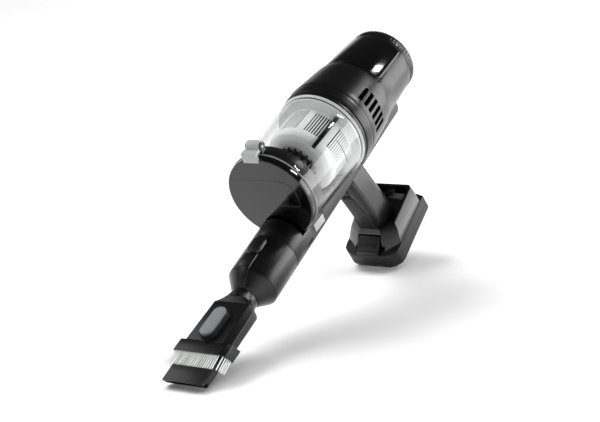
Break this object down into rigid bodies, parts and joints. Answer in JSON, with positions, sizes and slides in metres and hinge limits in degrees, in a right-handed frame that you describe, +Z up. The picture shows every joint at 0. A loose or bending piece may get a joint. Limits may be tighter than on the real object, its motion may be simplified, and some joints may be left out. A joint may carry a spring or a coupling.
{
  "type": "handheld vacuum cleaner",
  "caption": "Cordless handheld vacuum: clear dust cup with cyclone, motor housing, raked trigger handle on a sliding battery, crevice tool with sliding brush.",
  "frame": {"origin": "centre of the bounding box on the floor that the tool's mouth and the battery's front edge rest on", "axes": "+Z up, -X towards the nozzle's mouth, +Y the machine's left; the machine axis rises 20.0 degrees towards +X"},
  "size_m": [0.5155, 0.1238, 0.3059],
  "materials": {
    "black_plastic": "fine satin moulding",
    "gloss_black": "polished moulding",
    "dark_grey_plastic": "fine grain moulding",
    "silver_plastic": "metallic satin lacquer",
    "clear_plastic": "polished clear moulding",
    "grey_button": "satin moulding",
    "rubber_seal": "matte",
    "steel_pin": "ground",
    "motor_steel": "laminated and lacquered",
    "fan_aluminium": "as cast",
    "filter_foam": "open cell foam",
    "filter_paper": "pleated",
    "board": "solder mask",
    "cell_wrap": "shrink wrapped cell",
    "brass_contact": "plated",
    "bristle_white": "nylon filament"
  },
  "bodies": {
    "chassis": {"intake_seal": "rubber_seal", "intake_ring": "black_plastic", "filter_frame": "dark_grey_plastic", "pre_motor_filter": "filter_foam", "motor_housing": "black_plastic", "top_cover": "gloss_black", "fan_cover": "dark_grey_plastic", "motor_can": "black_plastic", "motor_bearings": "steel_pin", "stator": "motor_steel", "motor_mounts": "rubber_seal", "motor_carriers": "black_plastic", "control_board": "board", "spine": "black_plastic", "tool_barrel": "black_plastic", "handle_left": "black_plastic", "handle_right": "black_plastic", "grip_strip": "dark_grey_plastic", "handle_screws": "steel_pin", "trigger_pin": "steel_pin", "trigger_switch": "dark_grey_plastic", "foot": "gloss_black", "socket_terminals": "brass_contact"},
    "dust_cup": {"dust_cup": "clear_plastic", "cup_collar": "black_plastic", "hinge_lugs": "black_plastic", "hinge_pin": "steel_pin", "cup_ring": "gloss_black", "shroud": "clear_plastic", "shroud_flange": "clear_plastic", "vortex_finder": "black_plastic", "cyclone_cone": "black_plastic", "latch_base": "black_plastic", "latch_pin": "steel_pin"},
    "lid": {"cup_lid": "gloss_black", "lid_seal": "rubber_seal"},
    "lid_latch": {"lid_latch": "silver_plastic"},
    "cup_release": {"cup_release_button": "silver_plastic"},
    "tool_release": {"tool_release_button": "black_plastic"},
    "tool": {"tool_cone": "black_plastic", "crevice_nozzle": "black_plastic"},
    "brush": {"brush_sleeve": "black_plastic", "brush_collar": "black_plastic", "bristles": "bristle_white"},
    "slider": {"slider_button": "grey_button"},
    "rear_cap": {"rear_cap": "black_plastic", "exhaust_filter": "filter_paper", "exhaust_filter_end": "dark_grey_plastic"},
    "trigger": {"trigger": "dark_grey_plastic"},
    "battery": {"battery_case_lower": "dark_grey_plastic", "battery_case_upper": "dark_grey_plastic", "battery_cells": "cell_wrap", "battery_board": "board", "battery_contacts": "brass_contact"},
    "battery_latch": {"battery_latch": "dark_grey_plastic"},
    "rotor": {"impeller": "fan_aluminium", "motor_shaft": "motor_steel", "rotor_core": "motor_steel"}
  },
  "joints": [
    {"name": "trigger_squeeze", "type": "hinge", "parent": "chassis", "child": "trigger", "pos_m": [0.10784, 0, 0.13772], "axis": [0, -1, 0], "range_deg": [0, 9], "stiffness_Nm_per_rad": 0.12, "springref_deg": -20.05},
    {"name": "dust_cup_lift", "type": "slide", "parent": "chassis", "child": "dust_cup", "axis": [-0.3417, 0, 0.9398], "range_m": [0, 0.15]},
    {"name": "cup_lid_swing", "type": "hinge", "parent": "dust_cup", "child": "lid", "pos_m": [-0.02363, 0, 0.10501], "axis": [0, -1, 0], "range_deg": [0, 80]},
    {"name": "lid_latch_lift", "type": "hinge", "parent": "dust_cup", "child": "lid_latch", "pos_m": [-0.05655, 0.005, 0.22775], "axis": [0, 1, 0], "range_deg": [0, 24], "stiffness_Nm_per_rad": 0.05, "springref_deg": -22.92},
    {"name": "cup_release_press", "type": "slide", "parent": "chassis", "child": "cup_release", "axis": [0, 1, 0], "range_m": [0, 0.002], "stiffness_N_per_m": 900, "springref_m": -0.002},
    {"name": "tool_release_press", "type": "slide", "parent": "chassis", "child": "tool_release", "axis": [0.4197, 0, -0.9076], "range_m": [0, 0.0025], "stiffness_N_per_m": 900, "springref_m": -0.002},
    {"name": "tool_pull", "type": "slide", "parent": "chassis", "child": "tool", "axis": [-0.9076, 0, -0.4197], "range_m": [0, 0.06]},
    {"name": "brush_slide", "type": "slide", "parent": "tool", "child": "brush", "axis": [-0.9251, 0, -0.3797], "range_m": [0, 0.03]},
    {"name": "slider_press", "type": "slide", "parent": "brush", "child": "slider", "axis": [0.3797, 0, -0.9251], "range_m": [0, 0.0015], "stiffness_N_per_m": 900, "springref_m": -0.002},
    {"name": "rear_cap_pull", "type": "slide", "parent": "chassis", "child": "rear_cap", "axis": [0.9398, 0, 0.3417], "range_m": [0, 0.06]},
    {"name": "battery_slide", "type": "slide", "parent": "chassis", "child": "battery", "axis": [-0.8341, 0, -0.5516], "range_m": [0, 0.12]},
    {"name": "battery_latch_press", "type": "slide", "parent": "battery", "child": "battery_latch", "axis": [0.8341, 0, 0.5516], "range_m": [0, 0.0015], "stiffness_N_per_m": 1200, "springref_m": -0.002},
    {"name": "motor_spin", "type": "hinge", "parent": "chassis", "child": "rotor", "pos_m": [0.13993, 0, 0.22874], "axis": [0.9398, 0, 0.3417], "continuous": true}
  ],
  "couplings": [
    {"joint": "cup_lid_swing", "follows": "dust_cup_lift", "rad_per_m": 9.3}
  ]
}
